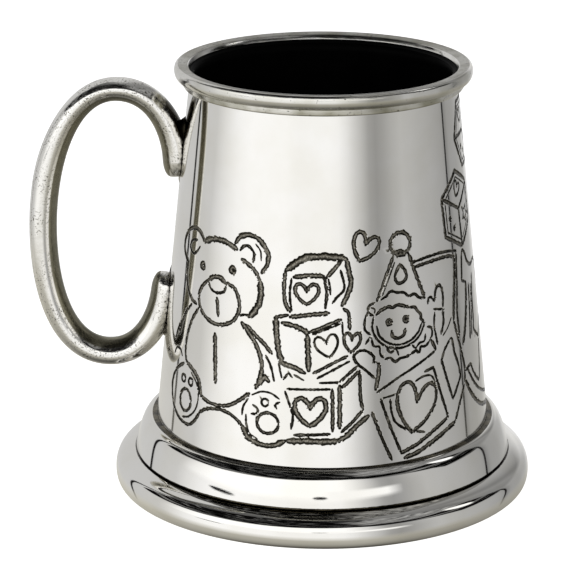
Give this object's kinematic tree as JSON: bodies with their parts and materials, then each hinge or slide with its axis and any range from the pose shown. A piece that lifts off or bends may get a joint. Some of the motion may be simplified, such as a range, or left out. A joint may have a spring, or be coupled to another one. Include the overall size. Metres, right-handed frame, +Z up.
{
  "type": "tankard",
  "caption": "Tapered pewter drinking tankard with a beaded rim, a soldered C handle and a stepped spreading foot, holding half an imperial pint.",
  "frame": {"origin": "middle of the footprint box on the table; the tankard's own axis stands at x = +9.35 mm", "axes": "+Z up along the tankard's axis, -X towards the handle, so +X is the side opposite the handle; -Y faces the viewer who sees the handle on the left"},
  "size_m": [0.1136, 0.0948, 0.0965],
  "materials": {
    "polished_pewter": "mirror-polished pewter, engraved lines antiqued dark",
    "brushed_pewter": "finely brushed pewter with small casting pits",
    "cast_pewter": "polished cast pewter with small casting pits on its sides",
    "oxidised_pewter": "dark oxidised pewter",
    "solder": "dull tin solder"
  },
  "bodies": {
    "root": {"rim_moulding": "brushed_pewter", "body_wall": "polished_pewter", "side_seam": "solder", "floor_disc": "oxidised_pewter", "floor_solder": "oxidised_pewter", "collar_solder": "solder", "foot_collar": "polished_pewter", "tier_solder": "solder", "foot_skirt": "polished_pewter", "handle": "cast_pewter", "upper_handle_solder": "solder", "lower_handle_solder": "solder"}
  },
  "joints": []
}
